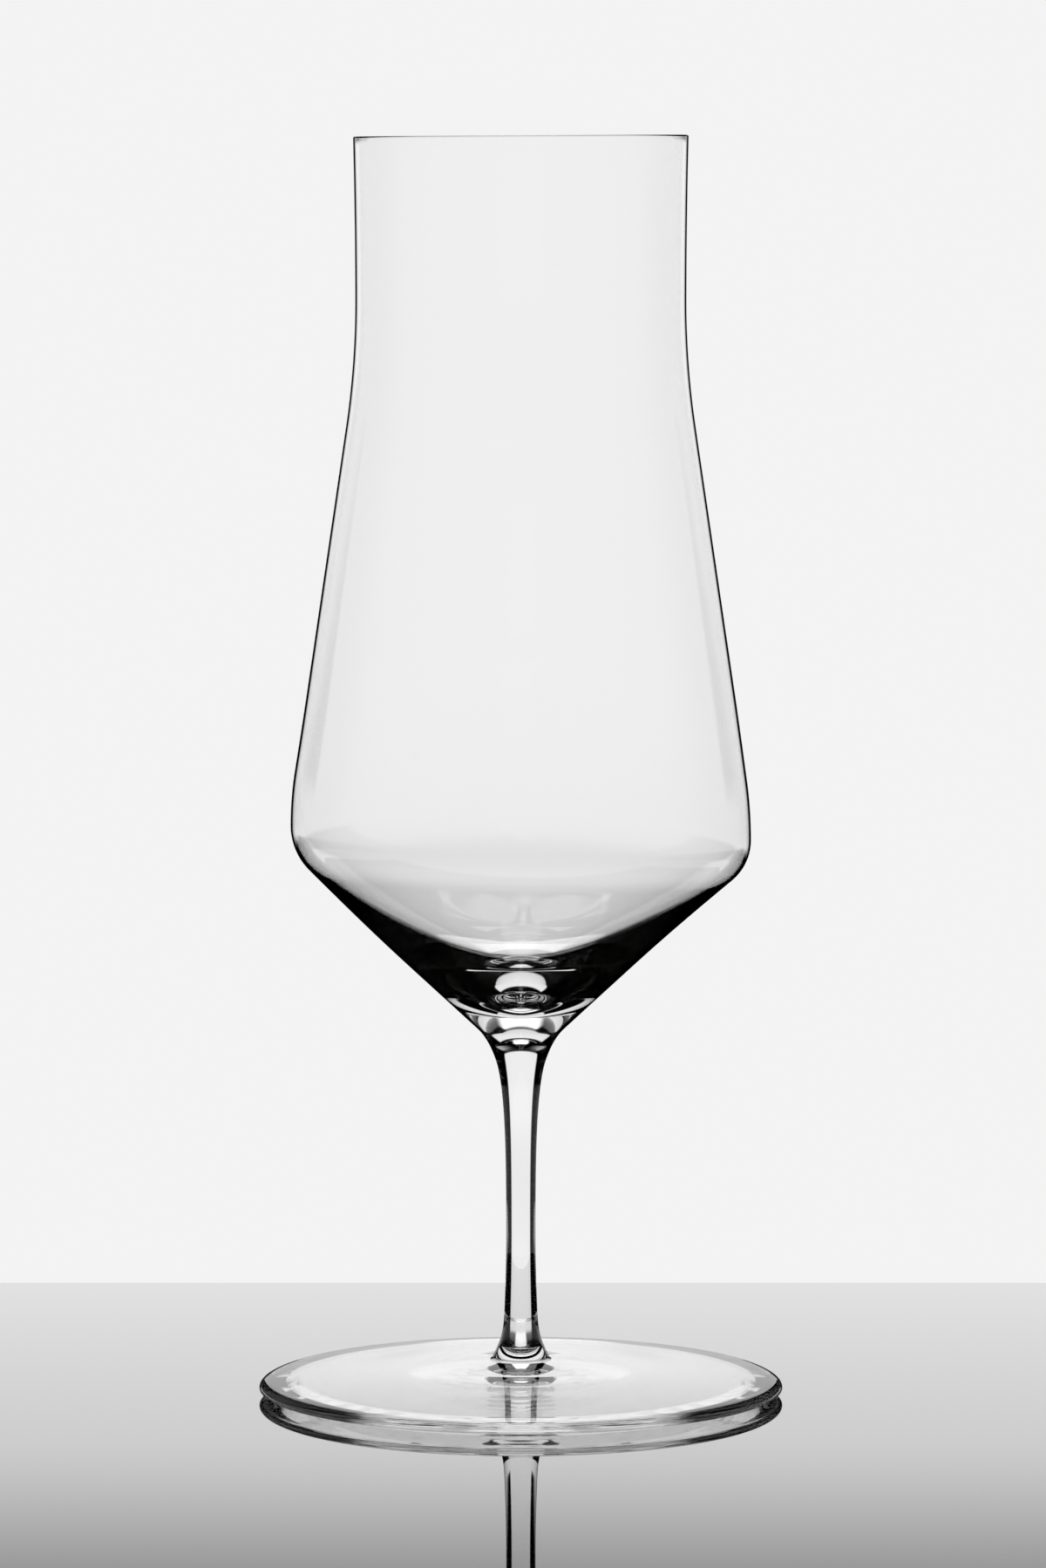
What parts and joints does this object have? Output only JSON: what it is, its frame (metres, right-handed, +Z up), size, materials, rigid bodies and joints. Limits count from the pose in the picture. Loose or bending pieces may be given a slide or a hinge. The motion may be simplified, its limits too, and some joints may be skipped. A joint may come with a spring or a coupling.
{
  "type": "tulip beer glass",
  "caption": "Stemmed beer glass with a thin bowl: straight chimney, taper to a low wide shoulder and a cone base, on a slim waisted stem and a flat round foot.",
  "frame": {"origin": "on the glass's axis, in the plane of the table that the foot stands on", "axes": "+Z up along the axis of the glass from the foot to the rim; the form is round, so +X and +Y are free, and -Y faces the viewer"},
  "size_m": [0.0854, 0.0854, 0.205],
  "materials": {
    "clear_glass": "fire-polished clear crystal, faint blowing and spinning marks"
  },
  "bodies": {
    "root": {"bowl": "clear_glass", "stem": "clear_glass", "foot": "clear_glass"}
  },
  "joints": []
}
